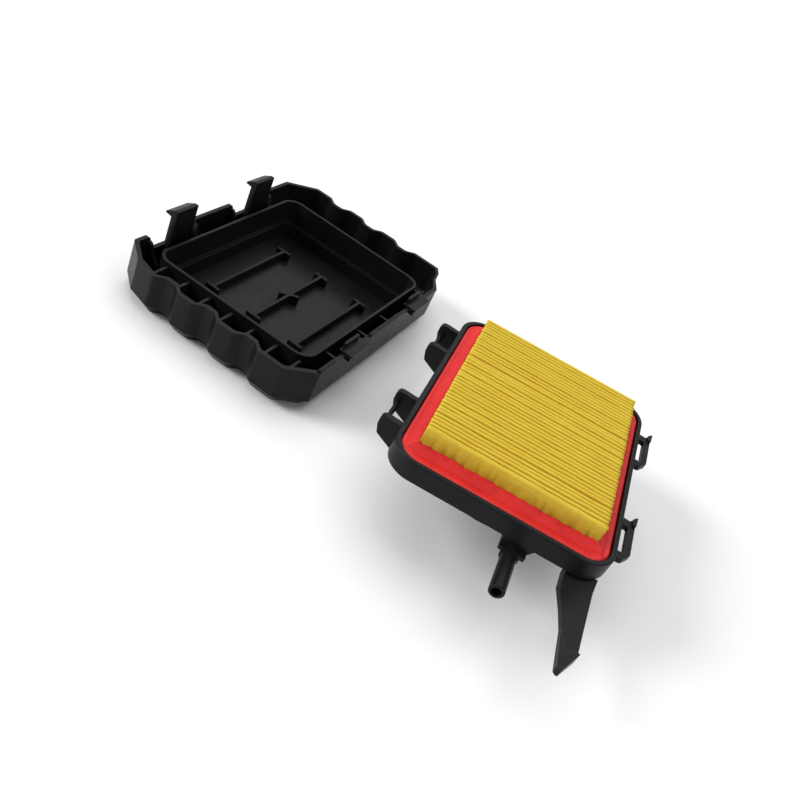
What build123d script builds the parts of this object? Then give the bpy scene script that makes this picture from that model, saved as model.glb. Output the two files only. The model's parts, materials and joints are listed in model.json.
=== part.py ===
from build123d import *
import os

# Air filter housing of a small engine: a shallow tray that bolts to the carburettor, a panel filter
# element that drops into it, and a clip-on cover, taken off and lying upside down beside the tray.
# Millimetres, +Z up. The origin is the centre of the carburettor port, on the face of its gasket,
# which is also the plane that the tray and the cover rest on. X runs across the tray from the latch
# side to the hook side, and Y from the breather side to the back.

# ---- Filter element ----
ELEMENT_X, ELEMENT_Y = 100.0, 128.0     # moulded frame, outside
ELEMENT_CORNER = 11.0
PACK_X, PACK_Y = 86.4, 108.5            # pleated pack
FRAME_BOTTOM, FRAME_TOP = 42.0, 48.0    # heights of the frame's sealing flange
COLLAR_RISE, COLLAR_RUN = 2.4, 4.0      # sloped collar that grips the pack
PACK_BOTTOM, PACK_TOP = 39.4, 59.2
PLEATS = 39
PLEAT_NOTCH = 1.8                       # depth of the V between two pleat tips, in the solid pack

# ---- Tray ----
WALL = 2.4
ELEMENT_GAP = 0.4                       # all round between element and tray wall
TRAY_X = ELEMENT_X + 2 * (ELEMENT_GAP + WALL)
TRAY_Y = ELEMENT_Y + 2 * (ELEMENT_GAP + WALL)
TRAY_CORNER = ELEMENT_CORNER + ELEMENT_GAP + WALL
RIM_TOP = 48.5
SKIRT_TOP = 38.8                        # below this the wall steps in
SKIRT_STEP = 4.8
TRAY_BOTTOM = 35.0
FLOOR_TOP = 37.2
LEDGE_WIDTH = 4.6                       # ledge under the sealing flange
SUPPORT_RIB_TOP = 39.2
SUPPORT_RIB_X = (-30.0, 30.0)

# ---- Carburettor port ----
PORT_R = 15.0
DUCT_WALL = 2.8
STUD_SPACING = 50.0
STUD_HOLE_R = 3.3
BUSH_R = 5.0
BUSH_LENGTH = 9.0
BOSS_R = 7.5
PORT_FLANGE_THICK = 5.0
GASKET_THICK = 1.5

# ---- Latch brackets (latch side, -X) and hook loops (hook side, +X) ----
BRACKET_Y = (-35.0, 35.0)
EAR_REACH = 9.8
EAR_THICK = 3.0
EAR_GAP = 18.6                          # clear width between the two ears
EAR_TOP, EAR_BOTTOM = RIM_TOP - 0.7, 33.0
EAR_LOBE_R = 2.6
BAR_INSET, BAR_THICK = 1.4, 2.1         # the bar stands back from the ears' outer ends
BAR_BOTTOM, BAR_TOP = 38.2, 43.8
LOOP_Y = (-38.0, 33.0)
LOOP_LENGTH, LOOP_SLOT_LENGTH = 28.0, 18.4
LOOP_SLOT = 3.3                         # width of the slot between wall and outer bar
LOOP_BAR = 3.2
LOOP_BOTTOM, LOOP_TOP = 43.9, 46.6

# ---- Breather spigot and guide leg ----
SPIGOT_X, SPIGOT_Z = 13.3, 31.8         # its axis, which runs level along Y
SPIGOT_R, SPIGOT_BORE_R = 3.6, 2.4
SPIGOT_ROOT_R = 4.3                     # its thicker root, under the tray
SPIGOT_END_Y = -91.2
SPIGOT_HOLE_Y = -56.5                   # where its passage opens through the tray's floor
TONGUE_Y, TONGUE_WIDTH = -69.2, 12.4
TONGUE_THICK = 1.9
LEG_TOP = 33.6
LEG_THICK = 3.0
LEG_RAMP_Y = -75.0                      # the leg rises from here to the tray's stepped wall
TIP_SLOPE = 16.0                        # degrees, across the raised tip

# ---- Cover, in its own axes: L from latch side to hook side, S across, N out of its open side ----
COVER_PLACE = (-146.6, 60.7)            # where the middle of the seal wall lies
COVER_YAW = -9.4
COVER_DEPTH = 24.6
COVER_LATCH_L, COVER_HOOK_L = -62.0, 58.0
COVER_NEAR_S, COVER_FAR_S = -78.0, 90.0
COVER_WALL = 2.2
COVER_FLOOR = 2.4
BEVEL_DROP, BEVEL_RUN = 6.0, 5.0        # sloped edge round the closed face
FLUTE_L = (-28.2, -3.6, 21.6)           # middles of the three flutes in each long wall
FLUTE_MOUTH, FLUTE_BED, FLUTE_DEPTH = 15.4, 6.0, 4.2
FLUTE_R = 2.6
SHELL_CORNER_R = 3.0
SEAL_X, SEAL_Y, SEAL_CORNER = 97.6, 125.0, 9.0
SEAL_WALL = 1.8
SEAL_STEP_N, SEAL_STEP = -14.0, 2.5
WEB_L = [-39.5 + 14.1 * i for i in range(7)]
WEB_THICK = 1.4
FLOOR_RIB_L = (-28.0, 0.0, 28.0)
FLOOR_RIB_LENGTH, FLOOR_RIB_FOOT = 68.0, 9.0
FLOOR_RIB_THICK, FLOOR_RIB_HIGH = 2.0, 5.0

# ---- Latch arms and hook tabs of the cover ----
ARM_WIDTH, ARM_THICK = 17.0, 2.6
ARM_L = -55.6                           # middle of the arm's thickness
ARM_TIP_N = 15.0
ARM_PIVOT_N = -19.6
ARM_BEAD_R = 1.6
ARM_RIB, ARM_INNER_RIB = 1.4, 1.1       # how far the ribs on its two faces stand out
ARM_RIB_SHARES = (-0.42, -0.14, 0.14, 0.42)   # places of the ribs across the arm
BARB_REACH, BARB_CATCH_N = 4.8, 10.6
NOTCH_WIDTH, NOTCH_DEPTH = 35.0, 9.0
NOTCH_R = 2.6
RETURN_THICK = 1.8
TAB_WIDTH = 18.6
TAB_S = (-31.5, 39.5)
STRIP_S = ((-64.5, -50.5), (-14.5, 18.5))


def plate(length, width, radius, low, high):
    """A slab with rounded corners, standing between two heights."""
    return Pos(0, 0, low) * extrude(RectangleRounded(length, width, radius), high - low)


def block(x0, x1, y0, y1, z0, z1):
    """A box given by its limits."""
    size = Box(x1 - x0, y1 - y0, z1 - z0)
    return Pos((x0 + x1) / 2, (y0 + y1) / 2, (z0 + z1) / 2) * size


def post(x, y, radius, low, high):
    """An upright cylinder between two heights."""
    return Pos(x, y, (low + high) / 2) * Cylinder(radius, high - low)


def outline(corners):
    """A flat face, its corners given as (across, up, rounding radius)."""
    points = [(across, up) for across, up, radius in corners]
    return make_face(FilletPolyline(*points, radius=[corner[2] for corner in corners], close=True))


def slab(face, low, high):
    """An upright solid from a flat plan."""
    return Pos(0, 0, low) * extrude(face, high - low, dir=(0, 0, 1))


def upright(corners, y0, y1):
    """A flat shape drawn in X and Z, as thick as the stretch of Y that it covers."""
    face = Plane.XZ * outline(corners)
    return Pos(0, y1, 0) * extrude(face, y1 - y0, dir=(0, -1, 0))


def sideways(corners, x0, x1):
    """A flat shape drawn in Y and Z, as thick as the stretch of X that it covers."""
    face = Plane.YZ * outline(corners)
    return Pos(x0, 0, 0) * extrude(face, x1 - x0, dir=(1, 0, 0))


# ================= Tray =================

def base_tray():
    band = plate(TRAY_X, TRAY_Y, TRAY_CORNER, SKIRT_TOP, RIM_TOP)
    skirt = plate(TRAY_X - 2 * SKIRT_STEP, TRAY_Y - 2 * SKIRT_STEP, TRAY_CORNER - SKIRT_STEP,
                  TRAY_BOTTOM, SKIRT_TOP)
    skirt = fillet(skirt.faces().sort_by(Axis.Z)[0].edges(), 1.2)
    cup_x, cup_y = ELEMENT_X + 2 * ELEMENT_GAP, ELEMENT_Y + 2 * ELEMENT_GAP
    cup = plate(cup_x, cup_y, ELEMENT_CORNER + ELEMENT_GAP, FRAME_BOTTOM, RIM_TOP + 1)
    well_x, well_y = cup_x - 2 * LEDGE_WIDTH, cup_y - 2 * LEDGE_WIDTH
    well = plate(well_x, well_y, ELEMENT_CORNER - LEDGE_WIDTH / 2, FLOOR_TOP, FRAME_BOTTOM + 1)
    body = fillet(band.faces().sort_by(Axis.Z)[-1].edges(), 0.7) + skirt - cup - well
    for x in SUPPORT_RIB_X:
        body += block(x - 0.8, x + 0.8, -well_y / 2, well_y / 2, FLOOR_TOP - 0.5, SUPPORT_RIB_TOP)
    body -= post(0, 0, PORT_R, TRAY_BOTTOM - 1, FLOOR_TOP + 1)
    for side in (-1, 1):
        body -= post(side * STUD_SPACING / 2, 0, STUD_HOLE_R + 0.7, TRAY_BOTTOM - 1, FLOOR_TOP + 1)
    body -= post(SPIGOT_X, SPIGOT_HOLE_Y, SPIGOT_BORE_R, TRAY_BOTTOM - 1, FLOOR_TOP + 1)
    return body


def inlet_duct():
    """Port tube and flange under the tray, with a boss for each carburettor stud and four gussets."""
    low = GASKET_THICK
    reach = STUD_SPACING / 2
    flange_plan = Rectangle(STUD_SPACING, 2 * BOSS_R) + Circle(PORT_R + 6)
    for side in (-1, 1):
        flange_plan += Pos(side * reach, 0) * Circle(BOSS_R + 1.5)
    body = Pos(0, 0, low) * extrude(flange_plan, PORT_FLANGE_THICK)
    body += post(0, 0, PORT_R + DUCT_WALL, low, TRAY_BOTTOM)
    for side in (-1, 1):
        body += post(side * reach, 0, BOSS_R, low, TRAY_BOTTOM)
    gusset_reach = 34.0
    for turn in (45, 135, 225, 315):
        fin = upright([(PORT_R + 1, low + PORT_FLANGE_THICK + 4, 0), (PORT_R + 1, TRAY_BOTTOM, 0),
                       (gusset_reach, TRAY_BOTTOM, 0)], -1.1, 1.1)
        body += Rot(0, 0, turn) * fin
    body -= post(0, 0, PORT_R, low - 1, TRAY_BOTTOM + 1)
    for side in (-1, 1):
        body -= post(side * reach, 0, BUSH_R, low - 1, low + BUSH_LENGTH)
        body -= post(side * reach, 0, STUD_HOLE_R + 0.7, low, TRAY_BOTTOM + 1)
    return body


def stud_bushes():
    """Steel sleeves that take the load of the two stud nuts."""
    sleeves = []
    for side in (-1, 1):
        x = side * STUD_SPACING / 2
        sleeve = post(x, 0, BUSH_R, GASKET_THICK, GASKET_THICK + BUSH_LENGTH)
        sleeves.append(sleeve - post(x, 0, STUD_HOLE_R, 0, GASKET_THICK + BUSH_LENGTH + 1))
    return Compound(children=sleeves)


def port_gasket():
    plan = Rectangle(STUD_SPACING, 2 * BOSS_R) + Circle(PORT_R + 6)
    for side in (-1, 1):
        plan += Pos(side * STUD_SPACING / 2, 0) * Circle(BOSS_R + 1.5)
    plan -= Circle(PORT_R)
    for side in (-1, 1):
        plan -= Pos(side * STUD_SPACING / 2, 0) * Circle(STUD_HOLE_R)
    return extrude(plan, GASKET_THICK)


def ear(y_low):
    """One cheek of a latch bracket: level above, with a rounded outer corner, and sloped below."""
    inside, outside = -TRAY_X / 2, -TRAY_X / 2 - EAR_REACH
    skirt = inside + SKIRT_STEP
    corners = [(inside, EAR_TOP - 0.3, 0), (outside, EAR_TOP + 0.4, EAR_LOBE_R), (outside, 42.6, 1.5),
               (outside + 1.4, 37.8, 2.0),
               (inside + 0.5, EAR_BOTTOM, 1.5), (skirt, EAR_BOTTOM + 1.4, 0), (skirt, SKIRT_TOP, 0),
               (inside, SKIRT_TOP, 0)]
    return upright(corners, y_low, y_low + EAR_THICK)


def latch_bracket(y):
    """Two ears and the bar between them that a latch arm of the cover snaps under."""
    near_ear, far_ear = y - EAR_GAP / 2 - EAR_THICK, y + EAR_GAP / 2
    outside = -TRAY_X / 2 - EAR_REACH + BAR_INSET
    inside = outside + BAR_THICK
    bar = upright([(outside, BAR_BOTTOM + 0.8, 0.4), (outside, BAR_TOP, 1.0), (inside, BAR_TOP, 1.0),
                   (inside, BAR_BOTTOM, 0.4), (outside + 0.8, BAR_BOTTOM, 0.2)],
                  near_ear + 1, far_ear + EAR_THICK - 1)
    return ear(near_ear) + ear(far_ear) + bar


def hook_loop(y):
    """A slotted loop that a hook tab of the cover drops into, with a horn at its back end."""
    inner = TRAY_X / 2
    outer = inner + LOOP_SLOT + LOOP_BAR
    front, back = y - LOOP_LENGTH / 2, y + LOOP_LENGTH / 2
    horn_tip = (outer + 0.3, back + 3.4, 0.3)
    plan = outline([(inner, front, 0), (outer - 3.0, front + 0.6, 0.8), (outer, front + 5.2, 1.6),
                    (outer, back - 3, 4.0), horn_tip, (outer - 2.8, back - 0.3, 0.6), (inner, back, 0)])
    slot = Pos(inner + LOOP_SLOT / 2, y) * RectangleRounded(LOOP_SLOT, LOOP_SLOT_LENGTH, 0.8)
    horn = outline([(outer - 1.6, back - 3.5, 0), (outer, back - 3.2, 0), horn_tip,
                    (outer - 2.0, back + 0.4, 0)])
    return slab(plan - slot, LOOP_BOTTOM, LOOP_TOP) + slab(horn, LOOP_TOP - 0.5, LOOP_TOP + 1.3)


def level_post(radius, front, back):
    """A round bar along the spigot's axis, from one place along Y to another."""
    middle = Pos(SPIGOT_X, (front + back) / 2, SPIGOT_Z)
    return middle * Rot(90, 0, 0) * Cylinder(radius, back - front)


def breather_spigot():
    """Level, forward-facing hose spigot for the crankcase breather, on a tongue under the front wall."""
    wall_face = SKIRT_STEP - TRAY_Y / 2
    left, right = SPIGOT_X - TONGUE_WIDTH / 2, SPIGOT_X + TONGUE_WIDTH / 2
    back = SPIGOT_HOLE_Y + SPIGOT_R + 0.6
    under_floor = TRAY_BOTTOM
    tongue_plan = outline([(left, TONGUE_Y, 0.8), (right, TONGUE_Y, 0.8),
                           (right, back, 1.0), (left, back, 1.0)])
    tongue = slab(tongue_plan, under_floor - TONGUE_THICK, under_floor)
    riser = upright([(left, under_floor, 0), (right, under_floor, 1.5), (right + 2.4, SKIRT_TOP, 0),
                     (left, SKIRT_TOP, 0)], TONGUE_Y + 3.0, wall_face)
    root = level_post(SPIGOT_ROOT_R, TONGUE_Y, back)
    root -= block(left, right, wall_face, back + 1, under_floor, under_floor + 3)
    tube = level_post(SPIGOT_R, SPIGOT_END_Y, TONGUE_Y + 1)
    tube = fillet(tube.faces().sort_by(Axis.Y)[0].edges(), 0.7)
    body = tongue + riser + root + tube
    body -= level_post(SPIGOT_BORE_R, SPIGOT_END_Y - 1, SPIGOT_HOLE_Y + SPIGOT_BORE_R)
    body -= post(SPIGOT_X, SPIGOT_HOLE_Y, SPIGOT_BORE_R, SPIGOT_Z, under_floor + 1)
    return body


def guide_leg():
    """Flat tapering leg that runs forward from the tray's front corner to a raised, pointed tip."""
    plan = outline([(38.5, -50.0, 0), (36.7, -59.6, 3.0), (36.6, -70.0, 2.0), (39.9, -81.5, 6.0),
                    (42.1, -91.3, 6.0), (43.2, -105.4, 6.0), (43.7, -112.4, 1.0), (45.6, -113.8, 0.8),
                    (50.8, -103.2, 1.0), (51.0, -100.5, 1.0), (51.2, -86.5, 6.0), (51.7, -58.6, 2.0),
                    (48.0, -52.0, 0)])
    tip_plan = outline([(42.3, -92.5, 0), (45.5, -102.9, 0.6), (49.6, -101.8, 0), (51.0, -102.6, 0.2),
                        (45.6, -113.8, 0.8), (43.7, -112.4, 1.0), (43.2, -105.4, 6.0)])
    above_tip = Pos(43.0, -104.0, LEG_TOP + 0.3) * Rot(0, -TIP_SLOPE, 0) * Pos(0, 0, 5) * Box(40, 40, 10)
    tip = slab(tip_plan, LEG_TOP - 0.5, LEG_TOP + 3) - above_tip
    root = block(38.0, 46.5, -60.0, -50.5, LEG_TOP, TRAY_BOTTOM)
    wall_face = SKIRT_STEP - TRAY_Y / 2
    wedge = sideways([(LEG_RAMP_Y, LEG_TOP - 0.4, 0), (wall_face, LEG_TOP - 0.4, 0),
                      (wall_face, SKIRT_TOP, 0)], 36.0, 50.6)
    ramp = wedge & slab(plan, LEG_TOP - 1, SKIRT_TOP)
    spine = block(49.6, 50.8, -97.0, -62.0, LEG_TOP - 6.0, LEG_TOP - LEG_THICK)
    return slab(plan, LEG_TOP - LEG_THICK, LEG_TOP) + tip + root + ramp + spine


# ================= Filter element =================

def element_frame():
    """Red moulded frame: a sealing flange with a sloped collar that grips the pleats."""
    flange = plate(ELEMENT_X, ELEMENT_Y, ELEMENT_CORNER, FRAME_BOTTOM, FRAME_TOP)
    flange = fillet(flange.faces().sort_by(Axis.Z)[-1].edges(), 0.8)
    collar_x, collar_y = PACK_X + 2 * COLLAR_RUN, PACK_Y + 2 * COLLAR_RUN
    slope = loft([Pos(0, 0, FRAME_TOP) * Rectangle(collar_x, collar_y),
                  Pos(0, 0, FRAME_TOP + COLLAR_RISE) * Rectangle(PACK_X + 1.2, PACK_Y + 1.2)], ruled=True)
    hole = Pos(0, 0, (FRAME_BOTTOM + PACK_TOP) / 2) * Box(PACK_X, PACK_Y, PACK_TOP - FRAME_BOTTOM + 4)
    return flange + slope - hole


def pleat_pack():
    """Folded paper as one closed solid, its pleats running along X, with tips above and below."""
    pitch = PACK_Y / PLEATS
    top, bottom = [], []
    for i in range(PLEATS):
        y = -PACK_Y / 2 + i * pitch
        top += [(y, PACK_TOP - PLEAT_NOTCH), (y + pitch / 2, PACK_TOP)]
        bottom += [(y, PACK_BOTTOM + PLEAT_NOTCH), (y + pitch / 2, PACK_BOTTOM)]
    top.append((PACK_Y / 2, PACK_TOP - PLEAT_NOTCH))
    bottom.append((PACK_Y / 2, PACK_BOTTOM + PLEAT_NOTCH))
    face = Plane.YZ * Polygon(*(bottom + top[::-1]), align=None)
    return Pos(-PACK_X / 2, 0, 0) * extrude(face, PACK_X, dir=(1, 0, 0))


# ================= Cover =================

def fluted_side(edge, inward, turn):
    """Corners of one long wall's three flutes, in order from the latch side, or back if turn is -1."""
    corners = []
    for middle in FLUTE_L[::turn]:
        for half, depth in ((FLUTE_MOUTH, 0), (FLUTE_BED, FLUTE_DEPTH), (-FLUTE_BED, FLUTE_DEPTH),
                            (-FLUTE_MOUTH, 0)):
            corners.append((middle - turn * half / 2, edge + inward * depth, FLUTE_R))
    return corners


def shell_outline(inset):
    """Plan of the cover's wall, moved in by inset: fluted long walls, cut corners and one scoop."""
    latch, hook = COVER_LATCH_L + inset, COVER_HOOK_L - inset
    near, far = COVER_NEAR_S + inset, COVER_FAR_S - inset
    lean = 0.5 * inset
    corners = [(latch, -63.0 + lean, SHELL_CORNER_R), (-49.5 + lean, -74.0 + inset, SHELL_CORNER_R)]
    corners += fluted_side(near, 1, 1)
    corners += [(44.5 - lean, near, SHELL_CORNER_R), (hook, -65.0 + lean, SHELL_CORNER_R),
                (hook, 66.5 - lean, 1.2), (52.2 - lean, 76.0 - lean, 6.0), (50.4 - lean, 84.0 - lean, 6.0),
                (46.8 - lean, far, 2.0)]
    corners += fluted_side(far, -1, -1)
    corners += [(-47.0 + lean, far, SHELL_CORNER_R), (latch, 75.0 - lean, SHELL_CORNER_R)]
    return outline(corners)


def dish(inset, low, knee, high, run):
    """A solid with the cover's plan: upright above the knee, sloped in by run below it."""
    wall = slab(shell_outline(inset), knee, high)
    return wall + loft([Pos(0, 0, knee) * shell_outline(inset), Pos(0, 0, low) * shell_outline(inset + run)],
                       ruled=True)


def arm_sides():
    """The places along S of the two latch arms, which meet the brackets when the cover is turned over."""
    return [-y for y in BRACKET_Y]


def cover_shell():
    """Outer wall and closed face, with a notch and two return walls for each latch arm."""
    knee = BEVEL_DROP - COVER_DEPTH
    outside = dish(0, -COVER_DEPTH, knee, 0, BEVEL_RUN)
    inside = dish(COVER_WALL, COVER_FLOOR - COVER_DEPTH, knee + 1, 1, BEVEL_RUN - 1)
    body = outside - inside
    floor = COVER_FLOOR - COVER_DEPTH
    wall_in = COVER_LATCH_L + COVER_WALL
    seal_side = -SEAL_X / 2 - 2.5
    side_face = [(COVER_LATCH_L + 0.5, floor - 0.5, 0), (COVER_LATCH_L + 0.5, -2.0, 0.8),
                 (wall_in + 1.8, -2.6, 2.0), (wall_in + 5.0, -9.5, 3.0), (seal_side, -13.0, 0),
                 (seal_side, floor - 0.5, 0)]
    for s in arm_sides():
        low, high = s - NOTCH_WIDTH / 2, s + NOTCH_WIDTH / 2
        notch = [(low - 6, 2, 0), (low - 6, 0, 0), (low, 0, NOTCH_R), (low, -NOTCH_DEPTH, NOTCH_R),
                 (high, -NOTCH_DEPTH, NOTCH_R), (high, 0, NOTCH_R), (high + 6, 0, 0), (high + 6, 2, 0)]
        body -= sideways(notch, COVER_LATCH_L - 1, wall_in + 1)
        for edge in (low - RETURN_THICK, high):
            body += upright(side_face, edge, edge + RETURN_THICK) & outside
    return body


def seal_wall():
    """Thin wall that presses on the element's flange, with a step part way down inside."""
    floor = COVER_FLOOR - COVER_DEPTH
    body = plate(SEAL_X, SEAL_Y, SEAL_CORNER, floor, 0)
    body -= plate(SEAL_X - 2 * SEAL_WALL, SEAL_Y - 2 * SEAL_WALL, SEAL_CORNER - SEAL_WALL, SEAL_STEP_N, 1)
    inset = SEAL_WALL + SEAL_STEP
    body -= plate(SEAL_X - 2 * inset, SEAL_Y - 2 * inset, SEAL_CORNER - inset, floor - 1, SEAL_STEP_N + 1)
    return body


def web_ribs():
    """Thin webs across the channel between the seal wall and the outer wall."""
    floor = COVER_FLOOR - COVER_DEPTH
    room = dish(COVER_WALL, floor, BEVEL_DROP - COVER_DEPTH + 1, 0, BEVEL_RUN - 1)
    webs = []
    for along in WEB_L:
        slab = block(along - WEB_THICK / 2, along + WEB_THICK / 2, COVER_NEAR_S, -SEAL_Y / 2, floor, -2.2)
        webs.append(slab & room)
    for across in (-44.0, -12.0, 12.0, 56.0):
        slab = block(SEAL_X / 2, COVER_HOOK_L, across - WEB_THICK / 2, across + WEB_THICK / 2, floor, -2.6)
        webs.append(slab & room)
    return Compound(children=[w.solids()[0] for w in webs])


def floor_ribs():
    """Three I-shaped ribs on the inside of the closed face, the middle one with a crossed waist."""
    floor = COVER_FLOOR - COVER_DEPTH
    half, foot, thick = FLOOR_RIB_LENGTH / 2, FLOOR_RIB_FOOT / 2, FLOOR_RIB_THICK / 2
    ribs = []
    for along in FLOOR_RIB_L:
        rib = block(along - thick, along + thick, -half, half, floor, floor + FLOOR_RIB_HIGH)
        for end in (-1, 1):
            rib += block(along - foot, along + foot, end * half - thick, end * half + thick,
                         floor, floor + FLOOR_RIB_HIGH)
        if along == 0:
            rib += Pos(0, 0, floor) * Rot(0, 0, 35) * block(-foot * 1.3, foot * 1.3, -thick, thick,
                                                            0, FLOOR_RIB_HIGH)
        ribs.append(rib.solids()[0])
    return Compound(children=ribs)


def hook_tab(s):
    """Lip on the hook side's rim with a finger that drops into a hook loop of the tray."""
    outer = COVER_HOOK_L + 3.6
    slot_middle = TRAY_X / 2 + LOOP_SLOT / 2
    low, high = s - TAB_WIDTH / 2, s + TAB_WIDTH / 2
    lip_plan = outline([(slot_middle - 0.8, low, 0.4), (outer, low, 1.0), (outer, high, 1.0),
                        (slot_middle - 0.8, high, 0.4)])
    skirt = block(COVER_HOOK_L, outer - 0.8, low + 0.8, high - 0.8, -3.0, 0)
    finger = block(slot_middle - 0.8, slot_middle + 0.8, low + 2.4, high - 2.4, 1.0, 4.2)
    return slab(lip_plan, 0, 1.3) + skirt + finger


def rim_strips():
    """Raised strips on the hook side's rim, either side of the front tab."""
    inner = COVER_HOOK_L - COVER_WALL
    strips = [block(inner, COVER_HOOK_L, low, high, 0, 1.1) for low, high in STRIP_S]
    return Compound(children=strips)


def latch_arm(s):
    """Springy arm with an outward barb, which snaps under the bar of a latch bracket."""
    outer, inner = ARM_L - ARM_THICK / 2, ARM_L + ARM_THICK / 2
    low, high = s - ARM_WIDTH / 2, s + ARM_WIDTH / 2
    body = upright([(outer, ARM_PIVOT_N, 0), (outer, BARB_CATCH_N, 0.6),
                    (outer - BARB_REACH, BARB_CATCH_N + 0.6, 0.3),
                    (outer - BARB_REACH + 0.4, BARB_CATCH_N + 1.8, 0.6), (outer + 0.4, ARM_TIP_N, 0.8),
                    (inner, ARM_TIP_N, 0.5), (inner, ARM_PIVOT_N, 0)], low, high)
    body += Pos(ARM_L, s, ARM_PIVOT_N) * Rot(90, 0, 0) * Cylinder(ARM_BEAD_R, ARM_WIDTH)
    rib_top = BARB_CATCH_N + 0.3
    outer_rib = [(outer - ARM_RIB, -6.0, 0), (outer - ARM_RIB, rib_top, 0), (outer + 0.5, rib_top, 0),
                 (outer + 0.5, -8.5, 0)]
    inner_rib = [(inner - 0.5, -16.0, 0), (inner + ARM_INNER_RIB, -15.0, 0), (inner + ARM_INNER_RIB, 0, 0),
                 (inner - 0.5, 7.0, 0)]
    for share in ARM_RIB_SHARES:
        y = s + share * ARM_WIDTH
        body += upright(outer_rib, y - 0.6, y + 0.6) + upright(inner_rib, y - 0.7, y + 0.7)
    return body


def placed(shape):
    """Moves a piece from the cover's own axes to where the cover lies."""
    x, y = COVER_PLACE
    return Pos(x, y, COVER_DEPTH) * Rot(0, 0, COVER_YAW) * shape


PIECES = {
    "base_tray": base_tray(),
    "inlet_duct": inlet_duct(),
    "port_gasket": port_gasket(),
    "stud_bushes": stud_bushes(),
    "latch_bracket_front": latch_bracket(BRACKET_Y[0]),
    "latch_bracket_rear": latch_bracket(BRACKET_Y[1]),
    "hook_loop_front": hook_loop(LOOP_Y[0]),
    "hook_loop_rear": hook_loop(LOOP_Y[1]),
    "breather_spigot": breather_spigot(),
    "guide_leg": guide_leg(),
    "element_frame": element_frame(),
    "pleat_pack": pleat_pack(),
    "cover_shell": placed(cover_shell()),
    "seal_wall": placed(seal_wall()),
    "web_ribs": placed(web_ribs()),
    "floor_ribs": placed(floor_ribs()),
    "rim_strips": placed(rim_strips()),
    "hook_tab_near": placed(hook_tab(TAB_S[0])),
    "hook_tab_far": placed(hook_tab(TAB_S[1])),
    "latch_arm_near": placed(latch_arm(min(arm_sides()))),
    "latch_arm_far": placed(latch_arm(max(arm_sides()))),
}

os.makedirs("parts", exist_ok=True)
for name, shape in PIECES.items():
    export_step(shape, f"parts/{name}.step")
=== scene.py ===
import json
import math
import random
import bmesh
import bpy
from mathutils import Matrix, Vector, noise


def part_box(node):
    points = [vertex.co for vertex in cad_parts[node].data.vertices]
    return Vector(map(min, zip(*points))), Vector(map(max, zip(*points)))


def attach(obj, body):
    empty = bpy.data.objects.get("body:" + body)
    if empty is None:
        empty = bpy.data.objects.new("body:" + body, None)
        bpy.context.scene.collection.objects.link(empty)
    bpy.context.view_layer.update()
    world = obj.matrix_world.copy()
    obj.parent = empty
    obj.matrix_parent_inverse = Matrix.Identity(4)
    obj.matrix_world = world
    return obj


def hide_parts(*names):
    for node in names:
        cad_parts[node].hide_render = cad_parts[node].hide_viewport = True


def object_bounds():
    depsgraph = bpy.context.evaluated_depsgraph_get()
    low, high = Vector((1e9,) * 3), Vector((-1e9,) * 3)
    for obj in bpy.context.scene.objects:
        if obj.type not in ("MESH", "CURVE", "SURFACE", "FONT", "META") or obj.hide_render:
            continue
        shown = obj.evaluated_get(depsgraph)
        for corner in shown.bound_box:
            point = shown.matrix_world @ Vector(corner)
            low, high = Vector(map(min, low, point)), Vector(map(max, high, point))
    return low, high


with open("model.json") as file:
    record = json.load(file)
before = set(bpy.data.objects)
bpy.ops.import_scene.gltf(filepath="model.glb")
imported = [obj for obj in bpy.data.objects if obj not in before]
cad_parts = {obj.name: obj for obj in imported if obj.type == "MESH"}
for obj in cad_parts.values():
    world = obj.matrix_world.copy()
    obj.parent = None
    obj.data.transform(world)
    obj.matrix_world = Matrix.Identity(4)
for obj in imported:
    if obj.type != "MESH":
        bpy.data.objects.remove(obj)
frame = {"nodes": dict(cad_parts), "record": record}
cad_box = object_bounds()

MM = 0.001
NODES = frame["nodes"]
BODIES = frame["record"]["behaviour"]["bodies"]
BODY_OF = {node: body for body, nodes in BODIES.items() for node in nodes}
SLOT_OF = {entry["node"]: entry["material_slot"] for entry in frame["record"]["subparts"]}

# ---- Camera ----
CAMERA_AT = Vector((-41.7, -353.9, 279.9)) * MM
LOOKS_AT = Vector((-60.7, -6.9, 30.0)) * MM
CAMERA_ROLL = 27.6          # degrees
LENS = 40.24                # focal length, millimetres
SENSOR = 36.0               # width, millimetres

# ---- Filter element, millimetres ----
PLEATS = 39
PAPER_THICK = 0.32
TIP_SHARE = 0.54            # width of a folded tip, as a share of the pitch
TIP_LEAN, TIP_DROP = 0.16, 0.28         # most that one tip leans aside or lies low
WIDE_FOLDS = (4, 9, 14, 18, 24, 28, 33)
WIDE_GAP = 0.34             # how far the two folds beside a wide gap lean apart
LEAST_TRIM, MORE_TRIM = 0.2, 0.35       # how far the cut ends of the folds stand back from the CAD box
FOLD_SEED = 11
PAPER_STEPS = 64            # along each fold
FLAP_ACROSS, FLAP_DOWN = 110, 22        # faces of an end flap
COLLAR_RISE, COLLAR_RUN = 2.4, 4.0      # sloped collar that grips the pack
ELEMENT_CORNER = 11.0

# ---- Rounded edges of the moulded parts, millimetres ----
EDGE_ROUND = 0.35
SMALL_EDGE_ROUND = 0.2      # on the gasket and the bushes
FLAT_ANGLE = 0.6            # degrees, below which two faces are merged
EDGE_ANGLE = 32             # degrees, above which an edge is rounded

# ---- Studio: lights as (comes from, strength, softness in degrees) ----
LIGHTS = {
    "left": ((-1.0, -0.35, 0.60), 2.35, 24),
    "right": ((1.0, -0.30, 0.55), 0.6, 40),
    "top": ((-0.1, 0.5, 1.0), 1.6, 70),
}
WORLD_STRENGTH = 0.36
FLOOR_HALF = 6.0            # metres


# ================= Materials =================

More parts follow.
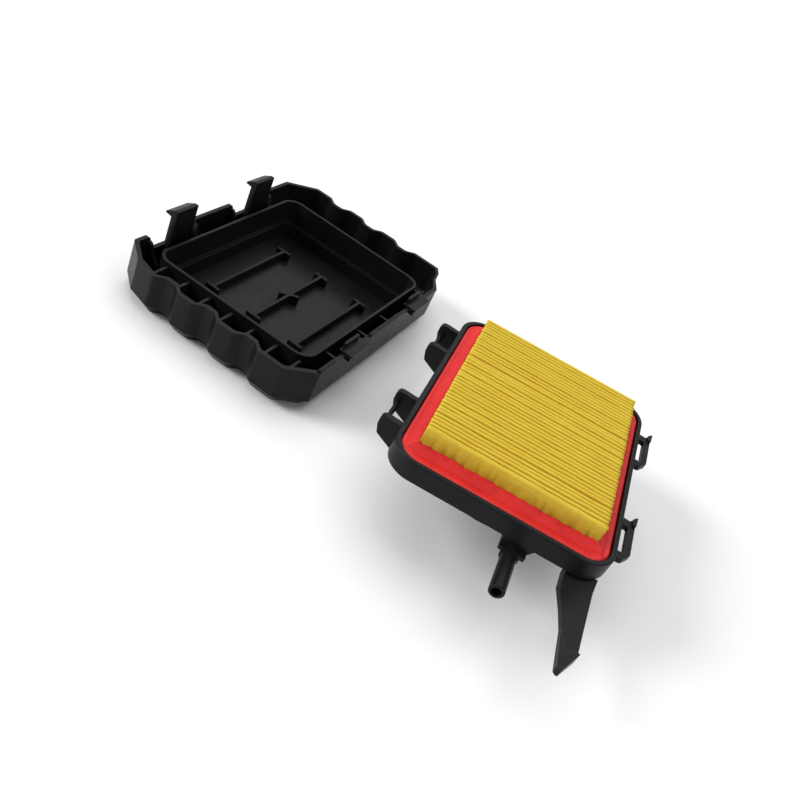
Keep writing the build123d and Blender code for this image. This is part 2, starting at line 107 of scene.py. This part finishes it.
class Nodes:
    """Builds one material's node tree, with short calls for the nodes that repeat."""

    def __init__(self, name):
        self.material = bpy.data.materials.new(name)
        self.material.use_nodes = True
        self.tree = self.material.node_tree
        self.shader = self.tree.nodes["Principled BSDF"]
        self.place = self.add("ShaderNodeTexCoord").outputs["Object"]

    def add(self, kind, **settings):
        node = self.tree.nodes.new(kind)
        for key, value in settings.items():
            setattr(node, key, value)
        return node

    def join(self, source, target):
        self.tree.links.new(source, target)

    def stretched(self, scale, turn=(0, 0, 0)):
        """Object coordinates scaled unevenly, for grain that runs one way."""
        mapping = self.add("ShaderNodeMapping")
        mapping.inputs["Scale"].default_value = scale
        mapping.inputs["Rotation"].default_value = turn
        self.join(self.place, mapping.inputs["Vector"])
        return mapping.outputs["Vector"]

    def noise(self, scale, detail=2.0, rough=0.5, vector=None):
        node = self.add("ShaderNodeTexNoise")
        node.inputs["Scale"].default_value = scale
        node.inputs["Detail"].default_value = detail
        node.inputs["Roughness"].default_value = rough
        self.join(vector or self.place, node.inputs["Vector"])
        return node.outputs["Fac"]

    def spread(self, value, low, high, to_low=0.0, to_high=1.0):
        node = self.add("ShaderNodeMapRange")
        node.inputs["From Min"].default_value = low
        node.inputs["From Max"].default_value = high
        node.inputs["To Min"].default_value = to_low
        node.inputs["To Max"].default_value = to_high
        self.join(value, node.inputs["Value"])
        return node.outputs["Result"]

    def blend(self, share, first, second):
        """Mixes two colours, each a tuple or the output of a node."""
        node = self.add("ShaderNodeMix", data_type="RGBA")
        self.join(share, node.inputs["Factor"])
        for socket, colour in (("A", first), ("B", second)):
            target = next(i for i in node.inputs if i.name == socket and i.type == "RGBA")
            if isinstance(colour, tuple):
                target.default_value = (*colour, 1)
            else:
                self.join(colour, target)
        return next(o for o in node.outputs if o.type == "RGBA")

    def maths(self, operation, first, second):
        node = self.add("ShaderNodeMath", operation=operation)
        for socket, value in zip(node.inputs, (first, second)):
            if isinstance(value, (int, float)):
                socket.default_value = value
            else:
                self.join(value, socket)
        return node.outputs[0]

    def bump(self, height, distance, strength=1.0, below=None):
        node = self.add("ShaderNodeBump")
        node.inputs["Distance"].default_value = distance
        node.inputs["Strength"].default_value = strength
        self.join(height, node.inputs["Height"])
        if below is not None:
            self.join(below, node.inputs["Normal"])
        return node.outputs["Normal"]

    def edge_wear_and_highlight(self, radius, low, high):
        """Near 1 along edges, from how far a rounded normal turns away from the real one."""
        rounded = self.add("ShaderNodeBevel", samples=6)
        rounded.inputs["Radius"].default_value = radius
        real = self.add("ShaderNodeNewGeometry").outputs["Normal"]
        dot = self.add("ShaderNodeVectorMath", operation="DOT_PRODUCT")
        self.join(rounded.outputs["Normal"], dot.inputs[0])
        self.join(real, dot.inputs[1])
        return self.spread(dot.outputs["Value"], high, low)


def black_plastic():
    """Moulded plastic: fine grain, faint sink marks, paler dust, and paler edges that are part wear, part
    painted highlight.
    """
    n = Nodes("black_plastic")
    tint = n.noise(45.0, 3.0, 0.6)
    body = n.blend(n.spread(tint, 0.3, 0.7), (0.0040, 0.0043, 0.0052), (0.0074, 0.0079, 0.0092))
    speck = n.spread(n.noise(2600.0, 1.0), 0.60, 0.72)
    body = n.blend(n.maths("MULTIPLY", speck, 0.35), body, (0.022, 0.023, 0.025))
    # Paler edges: partly wear, partly a painted highlight along the rounded edges
    wear_and_highlight = n.maths("MULTIPLY", n.edge_wear_and_highlight(0.0005, 0.80, 0.97), n.spread(n.noise(120.0, 4.0), 0.3, 0.75))
    n.join(n.blend(n.maths("MULTIPLY", wear_and_highlight, 0.6), body, (0.075, 0.078, 0.084)),
           n.shader.inputs["Base Color"])
    n.join(n.spread(n.noise(300.0, 4.0, 0.65), 0.3, 0.7, 0.32, 0.44), n.shader.inputs["Roughness"])
    sag = n.bump(n.noise(38.0, 1.0), 0.0006, 0.35)
    grain = n.bump(n.noise(3400.0, 2.0, 0.6), 0.00004, 0.55, sag)
    n.join(grain, n.shader.inputs["Normal"])
    n.shader.inputs["Specular IOR Level"].default_value = 0.135
    return n.material


def red_rubber():
    """Soft cast rubber: mottled, lightly pitted, with darker streaks along the sides."""
    n = Nodes("red_rubber")
    mottle = n.spread(n.noise(90.0, 4.0, 0.6), 0.3, 0.72)
    body = n.blend(mottle, (0.54, 0.011, 0.012), (0.68, 0.020, 0.019))
    streak = n.spread(n.noise(26.0, 3.0, 0.6, n.stretched((1.0, 0.25, 1.0))), 0.45, 0.7)
    body = n.blend(n.maths("MULTIPLY", streak, 0.35), body, (0.52, 0.006, 0.009))
    n.join(body, n.shader.inputs["Base Color"])
    n.join(n.spread(n.noise(500.0, 3.0), 0.3, 0.7, 0.44, 0.60), n.shader.inputs["Roughness"])
    swell = n.bump(n.noise(70.0, 2.0), 0.0007, 0.5)
    pores = n.add("ShaderNodeTexVoronoi", feature="F1")
    pores.inputs["Scale"].default_value = 1500.0
    n.join(n.place, pores.inputs["Vector"])
    pitted = n.bump(n.spread(pores.outputs["Distance"], 0.0, 0.35), 0.00006, 0.5, swell)
    n.join(n.bump(n.noise(2600.0, 2.0), 0.00004, 0.4, pitted), n.shader.inputs["Normal"])
    n.shader.inputs["Specular IOR Level"].default_value = 0.3
    n.shader.inputs["Subsurface Weight"].default_value = 0.04
    n.shader.inputs["Subsurface Radius"].default_value = (0.002, 0.0006, 0.0004)
    return n.material


def filter_paper(name, tips_only):
    """Creped yellow paper with fibres along the folds, and painted shade: pale on the folded tips, darker
    and deeper in colour lower down.
    """
    n = Nodes(name)
    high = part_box("pleat_pack")[1]
    height = n.add("ShaderNodeSeparateXYZ")
    n.join(n.place, height.inputs[0])
    fibres = n.noise(420.0, 5.0, 0.7, n.stretched((0.25, 1.0, 1.0)))
    # Painted shade: the paper is coloured darker lower down, standing in for the shade deep in the folds
    if tips_only:
        fold_shade = n.spread(height.outputs["Z"], high.z - 2.0 * MM, high.z - 0.7 * MM)
        body = n.blend(fold_shade, (0.53, 0.20, 0.000), (0.61, 0.46, 0.036))
    else:
        fold_shade = n.spread(height.outputs["Z"], high.z - 9.0 * MM, high.z - 1.0 * MM)
        body = n.blend(fold_shade, (0.46, 0.29, 0.012), (0.62, 0.46, 0.040))
    body = n.blend(n.maths("MULTIPLY", n.spread(fibres, 0.42, 0.75), 0.30), body, (0.80, 0.67, 0.085))
    blotch = n.spread(n.noise(70.0, 3.0), 0.35, 0.7)
    body = n.blend(n.maths("MULTIPLY", blotch, 0.22), body, (0.58, 0.34, 0.006))
    n.join(body, n.shader.inputs["Base Color"])
    n.join(n.spread(fibres, 0.3, 0.8, 0.74, 0.92), n.shader.inputs["Roughness"])
    crepe = n.noise(900.0, 3.0, 0.6, n.stretched((1.0, 0.3, 0.3)))
    rough_sheet = n.bump(crepe, 0.00012, 0.6)
    n.join(n.bump(n.noise(3000.0, 3.0, 0.7), 0.00005, 0.5, rough_sheet), n.shader.inputs["Normal"])
    n.shader.inputs["Specular IOR Level"].default_value = 0.16
    n.shader.inputs["Sheen Weight"].default_value = 0.05
    n.shader.inputs["Sheen Roughness"].default_value = 0.6
    return n.material


def gasket_rubber():
    """Dull fibre rubber with pale flecks."""
    n = Nodes("gasket_rubber")
    fleck = n.spread(n.noise(1400.0, 4.0, 0.7), 0.55, 0.75)
    n.join(n.blend(fleck, (0.030, 0.031, 0.030), (0.085, 0.082, 0.075)), n.shader.inputs["Base Color"])
    n.join(n.spread(n.noise(700.0, 2.0), 0.3, 0.7, 0.68, 0.85), n.shader.inputs["Roughness"])
    n.join(n.bump(n.noise(2200.0, 3.0), 0.00006, 0.6), n.shader.inputs["Normal"])
    return n.material


def plated_steel():
    """Plated steel with turning lines and a slight bloom."""
    n = Nodes("plated_steel")
    bloom = n.spread(n.noise(260.0, 3.0), 0.35, 0.7)
    n.join(n.blend(bloom, (0.56, 0.56, 0.54), (0.66, 0.64, 0.58)), n.shader.inputs["Base Color"])
    lines = n.noise(2500.0, 2.0, 0.6, n.stretched((1.0, 1.0, 0.05)))
    n.join(n.spread(lines, 0.3, 0.7, 0.24, 0.42), n.shader.inputs["Roughness"])
    n.join(n.bump(lines, 0.00002, 0.5), n.shader.inputs["Normal"])
    n.shader.inputs["Metallic"].default_value = 1.0
    return n.material


def pale_floor():
    """Matt pale floor with a faint change of shade."""
    n = Nodes("pale_floor")
    shade = n.spread(n.noise(3.0, 2.0), 0.3, 0.7)
    n.join(n.blend(shade, (0.86, 0.86, 0.87), (0.90, 0.90, 0.90)), n.shader.inputs["Base Color"])
    n.shader.inputs["Roughness"].default_value = 0.9
    n.shader.inputs["Specular IOR Level"].default_value = 0.1
    return n.material


MATERIALS = {
    "black_plastic": black_plastic(),
    "red_rubber": red_rubber(),
    "filter_paper": filter_paper("filter_paper", True),
    "gasket_rubber": gasket_rubber(),
    "plated_steel": plated_steel(),
}
END_PAPER = filter_paper("filter_paper_end", False)


# ================= Pieces =================

def new_piece(name, mesh, body, slot, *stands_for):
    """Links a mesh as a piece of the object, on one body, in place of the CAD nodes it stands for."""
    piece = bpy.data.objects.new(name, mesh)
    bpy.context.scene.collection.objects.link(piece)
    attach(piece, body)
    if stands_for:
        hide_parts(*stands_for)
    return piece


def grid_mesh(name, rows, close_rows, close_columns):
    """A mesh from equal rows of points, joined row to row, all its faces smooth."""
    count, width = len(rows), len(rows[0])
    faces = []
    for i in range(count if close_rows else count - 1):
        for j in range(width if close_columns else width - 1):
            after, beside = (i + 1) % count, (j + 1) % width
            faces.append((i * width + j, i * width + beside, after * width + beside, after * width + j))
    mesh = bpy.data.meshes.new(name)
    mesh.from_pydata([point for row in rows for point in row], [], faces)
    mesh.update()
    mesh.shade_smooth()
    return mesh


def softened(node, round_mm=EDGE_ROUND, segments=3):
    """A copy of a CAD node with its flat faces merged, so that its edges can be rounded."""
    mesh = NODES[node].data.copy()
    mesh.name = node + "_moulded"
    work = bmesh.new()
    work.from_mesh(mesh)
    bmesh.ops.remove_doubles(work, verts=work.verts, dist=2e-6)
    bmesh.ops.dissolve_limit(work, angle_limit=math.radians(FLAT_ANGLE), verts=work.verts, edges=work.edges)
    for face in work.faces:
        face.smooth = True
    work.to_mesh(mesh)
    work.free()
    mesh.materials.clear()
    mesh.materials.append(MATERIALS[SLOT_OF[node]])
    piece = new_piece(node + "_moulded", mesh, BODY_OF[node], SLOT_OF[node], node)
    bevel = piece.modifiers.new("edges", "BEVEL")
    bevel.width = round_mm * MM
    bevel.segments = segments
    bevel.limit_method = "ANGLE"
    bevel.angle_limit = math.radians(EDGE_ANGLE)
    bevel.use_clamp_overlap = True
    even = piece.modifiers.new("shading", "WEIGHTED_NORMAL")
    even.weight = 60
    even.keep_sharp = True


# ---- Filter element ----

CORNERS = ((1, 1), (-1, 1), (-1, -1), (1, -1))      # the four quarters, anticlockwise


def rounded_ring(half_x, half_y, radius, z, side_steps, corner_steps):
    """Points of a rounded rectangle, anticlockwise, the same number at any size."""
    points = []
    for quarter in range(4):
        sx, sy = CORNERS[quarter]
        cx, cy = sx * (half_x - radius), sy * (half_y - radius)
        for step in range(corner_steps + 1):
            angle = math.pi / 2 * (quarter + step / corner_steps)
            points.append(Vector((cx + radius * math.cos(angle), cy + radius * math.sin(angle), z)))
        nx, ny = CORNERS[(quarter + 1) % 4]
        next_centre = (nx * (half_x - radius), ny * (half_y - radius))
        angle = math.pi / 2 * (quarter + 1)
        start = points[-1]
        end = Vector((next_centre[0] + radius * math.cos(angle),
                      next_centre[1] + radius * math.sin(angle), z))
        for step in range(1, side_steps):
            points.append(start.lerp(end, step / side_steps))
    return points


def element_frame():
    """Soft red frame: flat band, stepped sloping collar, and a ragged line where it wets the paper."""
    low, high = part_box("element_frame")
    pack_low, pack_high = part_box("pleat_pack")
    half = (high - low) / (2 * MM)
    pack = (pack_high - pack_low) / (2 * MM)
    bottom, top = low.z / MM, high.z / MM - COLLAR_RISE
    collar = Vector((pack.x + COLLAR_RUN, pack.y + COLLAR_RUN))
    inside = Vector((pack.x - 0.5, pack.y - 0.5))
    profile = [
        (inside.x, inside.y, 0.3, bottom),
        (half.x - 0.7, half.y - 0.7, ELEMENT_CORNER - 0.7, bottom),
        (half.x, half.y, ELEMENT_CORNER, bottom + 0.7),
        (half.x, half.y, ELEMENT_CORNER, top - 0.9),
        (half.x - 0.2, half.y - 0.2, ELEMENT_CORNER - 0.2, top - 0.35),
        (half.x - 0.8, half.y - 0.8, ELEMENT_CORNER - 0.8, top - 0.02),
        (half.x - 1.2, half.y - 1.2, ELEMENT_CORNER - 1.2, top),
        (collar.x + 0.55, collar.y + 0.9, 2.2, top),
        (collar.x + 0.25, collar.y + 0.35, 1.6, top - 0.22),
        (collar.x, collar.y, 1.2, top + 0.05),
        (collar.x - 0.9, collar.y - 0.9, 0.9, top + 0.62),
        (collar.x - 1.9, collar.y - 1.9, 0.7, top + 1.15),
        (collar.x - 2.2, collar.y - 2.2, 0.6, top + 1.20),
        (collar.x - 3.1, collar.y - 3.1, 0.5, top + 1.75),
        (collar.x - 3.6, collar.y - 3.6, 0.4, top + 2.15),
        (collar.x - 4.1, collar.y - 4.1, 0.35, top + 2.2),
        (inside.x, inside.y, 0.3, top + 1.6),
    ]
    rows = []
    ragged_rows = 5
    for number, (x, y, radius, z) in enumerate(profile):
        row = rounded_ring(x, y, radius, z, 120, 8)
        from_top = len(profile) - 1 - number
        for point in row:
            wander = noise.noise(point * 0.14 + Vector((7.1, 3.3, 0.0)))
            fine = noise.noise(point * 0.55 + Vector((1.7, 9.2, 0.0)))
            if from_top < ragged_rows:
                end_face = abs(point.y) > pack.y - 1.5
                reach = (1.1 if end_face else 0.7) * (1 - from_top / ragged_rows)
                point.z += reach * (0.5 * wander + 0.8 * fine)
            elif z >= top - 0.3:
                point.z += 0.10 * wander
        rows.append([point * MM for point in row])
    mesh = grid_mesh("element_frame_soft", rows, True, True)
    mesh.materials.append(MATERIALS["red_rubber"])
    new_piece("element_frame_soft", mesh, "element", "red_rubber", "element_frame")


def pleat_profile(pack_y, bottom, top):
    """Points of the folded sheet across the pack, as (y, z, fold number, nearness to the tip)."""
    pitch = 2 * pack_y / PLEATS
    half_tip = pitch * TIP_SHARE / 2
    half_root = pitch * (1 - TIP_SHARE) / 2
    arc = 6
    points = []
    for fold in range(PLEATS):
        middle = -pack_y + (fold + 0.5) * pitch
        for step in range(arc + 1):
            angle = math.pi * (1 - step / arc)
            points.append((middle + half_tip * math.cos(angle),
                           top - half_tip * (1 - math.sin(angle)), fold, 1.0))
        if fold == PLEATS - 1:
            break
        points.append((middle + half_tip + 0.02, (top * 2 + bottom) / 3, fold, 0.6))
        points.append((middle + half_tip + 0.02, (top + bottom * 2) / 3, fold, 0.3))
        gap = middle + pitch / 2
        for step in range(arc + 1):
            angle = math.pi * (1 + step / arc)
            points.append((gap + half_root * math.cos(angle),
                           bottom + half_root * (1 + math.sin(angle)), fold, 0.0))
        points.append((gap + half_root - 0.02, (top + bottom * 2) / 3, fold + 1, 0.3))
        points.append((gap + half_root - 0.02, (top * 2 + bottom) / 3, fold + 1, 0.6))
    return points


def pleated_paper():
    """One long folded sheet with slightly uneven folds, open at its two ends, where the flaps close it."""
    low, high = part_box("pleat_pack")
    half_x, half_y = high.x / MM, high.y / MM
    bottom, top = low.z / MM + 0.3, high.z / MM - 0.35
    draw = random.Random(FOLD_SEED)
    lean = [draw.uniform(-TIP_LEAN, TIP_LEAN) for _ in range(PLEATS + 1)]
    drop = [draw.uniform(-TIP_DROP, 0.0) for _ in range(PLEATS + 1)]
    for wide in WIDE_FOLDS:
        lean[wide] -= WIDE_GAP
        lean[wide + 1] += WIDE_GAP
    trim = [[LEAST_TRIM + MORE_TRIM * draw.random() ** 2 for _ in range(PLEATS + 1)] for _ in range(2)]
    rows = []
    for step in range(PAPER_STEPS + 1):
        share = step / PAPER_STEPS
        row = []
        for y, z, fold, tip in pleat_profile(half_y - 0.5, bottom, top):
            x = (trim[0][fold] - half_x) * (1 - share) + (half_x - trim[1][fold]) * share
            bend = noise.noise(Vector((x * 0.035, fold * 3.7, 0.5)))
            kink = noise.noise(Vector((x * 0.16, fold * 1.9, 4.5)))
            near_end = 1 - min(1.0, (half_x - abs(x)) / 1.6)
            row.append(Vector((x, y + tip * (lean[fold] + 0.20 * bend + 0.05 * kink),
                               z + (tip > 0.9) * (drop[fold] + 0.14 * kink - 0.35 * near_end ** 2))) * MM)
        rows.append(row)
    mesh = grid_mesh("pleated_paper", rows, False, False)
    mesh.materials.append(MATERIALS["filter_paper"])
    piece = new_piece("pleated_paper", mesh, "element", "filter_paper", "pleat_pack")
    thick = piece.modifiers.new("thickness", "SOLIDIFY")
    thick.thickness = PAPER_THICK * MM
    thick.offset = 0.0


def end_flap(side):
    """The sheet's outer panel at one end: it runs from the first tip down into the frame."""
    low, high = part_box("pleat_pack")
    half_x, half_y = high.x / MM, high.y / MM
    top, foot = high.z / MM - 0.75, low.z / MM + 6.0
    rows = []
    for i in range(FLAP_DOWN + 1):
        share = i / FLAP_DOWN
        z = top + (foot - top) * share
        row = []
        for j in range(FLAP_ACROSS + 1):
            x = -half_x + 0.4 + (2 * half_x - 0.8) * j / FLAP_ACROSS
            swell = noise.noise(Vector((x * 0.11, share * 0.8, 2.0 * side)))
            ripple = noise.noise(Vector((x * 0.42, share * 1.2, 5.0 * side)))
            crease = max(0.0, abs(noise.noise(Vector((x * 0.19, 0.3 * share, 8.0 * side)))) - 0.06)
            pucker = min(1.0, crease / 0.10)
            wrinkle = 0.34 * swell + 0.2 * ripple + 0.7 * pucker - 0.5
            out = 0.30 * (1 - math.exp(-7 * share)) + share * wrinkle
            row.append(Vector((x, side * (half_y - 0.62 + out), z)) * MM)
        rows.append(row if side > 0 else row[::-1])
    mesh = grid_mesh(f"end_flap_{'back' if side > 0 else 'front'}", rows, False, False)
    mesh.materials.append(END_PAPER)
    piece = new_piece(mesh.name, mesh, "element", "filter_paper")
    thick = piece.modifiers.new("thickness", "SOLIDIFY")
    thick.thickness = PAPER_THICK * MM
    thick.offset = -1.0


# ================= Camera, light and floor =================

def add_camera():
    """The camera looks down on the open housing from in front, rolled to one side."""
    data = bpy.data.cameras.new("camera")
    data.lens = LENS
    data.sensor_width = SENSOR
    data.clip_start, data.clip_end = 0.01, 20.0
    camera = bpy.data.objects.new("camera", data)
    bpy.context.scene.collection.objects.link(camera)
    aim = (LOOKS_AT - CAMERA_AT).to_track_quat("-Z", "Y").to_matrix()
    roll = Matrix.Rotation(math.radians(CAMERA_ROLL), 3, "Z")
    camera.matrix_world = Matrix.Translation(CAMERA_AT) @ (aim @ roll).to_4x4()
    bpy.context.scene.camera = camera


def add_soft_light(name, comes_from, strength, softness):
    """Even light from one side of the studio, as from a very large softbox far away."""
    data = bpy.data.lights.new(name, "SUN")
    data.energy = strength
    data.angle = math.radians(softness)
    light = bpy.data.objects.new(name, data)
    light.rotation_euler = Vector(comes_from).to_track_quat("Z", "Y").to_euler()
    bpy.context.scene.collection.objects.link(light)


def add_floor():
    """Plain pale floor under the part's lowest point."""
    half = FLOOR_HALF
    mesh = bpy.data.meshes.new("floor")
    corners = [(-half, -half, 0), (half, -half, 0), (half, half, 0), (-half, half, 0)]
    mesh.from_pydata(corners, [], [(0, 1, 2, 3)])
    mesh.materials.append(pale_floor())
    ground = bpy.data.objects.new("floor", mesh)
    ground.location.z = cad_box[0].z
    bpy.context.scene.collection.objects.link(ground)


def add_world():
    """Even white surroundings, and colours shown without a film curve."""
    world = bpy.data.worlds.new("world")
    bpy.context.scene.world = world
    world.use_nodes = True
    bpy.context.scene.view_settings.view_transform = "Standard"
    backdrop = world.node_tree.nodes["Background"]
    backdrop.inputs["Color"].default_value = (1, 1, 1, 1)
    backdrop.inputs["Strength"].default_value = WORLD_STRENGTH


element_frame()
pleated_paper()
for side in (-1, 1):
    end_flap(side)
for node in NODES:
    if SLOT_OF[node] == "black_plastic":
        softened(node)
    elif node not in ("element_frame", "pleat_pack"):
        softened(node, SMALL_EDGE_ROUND, 2)

add_camera()
for name, (comes_from, strength, softness) in LIGHTS.items():
    add_soft_light(name, comes_from, strength, softness)
add_floor()
add_world()
